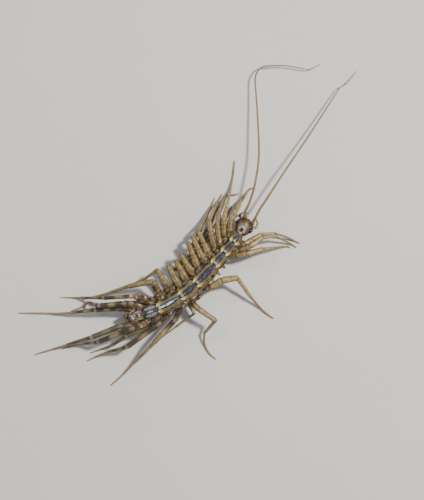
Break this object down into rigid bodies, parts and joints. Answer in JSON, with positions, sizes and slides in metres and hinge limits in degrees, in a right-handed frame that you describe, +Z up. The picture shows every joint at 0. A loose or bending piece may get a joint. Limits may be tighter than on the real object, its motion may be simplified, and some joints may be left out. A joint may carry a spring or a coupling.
{
  "type": "house centipede",
  "caption": "House centipede in a natural stance, with a round head, overlapping back plates, long banded legs and whip-like feelers; a few legs of one side are lost.",
  "frame": {"origin": "middle of the bottom of the bounding box, on the floor that the feet stand on", "axes": "+X runs forward along the body towards the head and is the longest extent, +Y is the animal's left, +Z is up"},
  "size_m": [0.093, 0.0438, 0.0084],
  "materials": {
    "head": "chestnut chitin, glossy",
    "eye": "black compound eye, glossy",
    "trunk": "olive-brown chitin with a dark glossy stripe and yellow spots",
    "leg": "golden ochre chitin, satin",
    "banded_leg": "dark olive and golden banded chitin, satin",
    "antenna": "golden-tan finely ringed chitin, satin",
    "mouth": "reddish-brown chitin, glossy"
  },
  "bodies": {
    "root": {"head": "head", "eye_left": "eye", "eye_right": "eye", "antenna_left": "antenna", "antenna_right": "antenna", "palp_left": "mouth", "forcipule_left": "mouth", "palp_right": "mouth", "forcipule_right": "mouth", "trunk_1": "trunk", "trunk_2": "trunk", "trunk_3": "trunk", "trunk_4": "trunk", "trunk_5": "trunk", "trunk_6": "trunk", "trunk_7": "trunk", "trunk_8": "trunk", "tail": "trunk", "leg_left_01": "leg", "leg_left_02": "leg", "leg_left_03": "leg", "leg_left_04": "leg", "leg_left_05": "leg", "leg_left_06": "leg", "leg_left_07": "leg", "leg_left_08": "leg", "leg_left_09": "leg", "leg_left_10": "leg", "leg_left_11": "leg", "leg_left_12": "banded_leg", "leg_left_13": "banded_leg", "leg_left_14": "banded_leg", "leg_left_15": "banded_leg", "leg_right_01": "leg", "leg_right_02": "leg", "leg_right_03": "leg", "leg_right_08": "leg", "leg_right_09": "leg", "leg_right_10": "leg", "leg_right_11": "leg", "leg_right_12": "banded_leg", "leg_right_13": "banded_leg", "leg_right_14": "banded_leg", "leg_right_15": "banded_leg"}
  },
  "joints": []
}
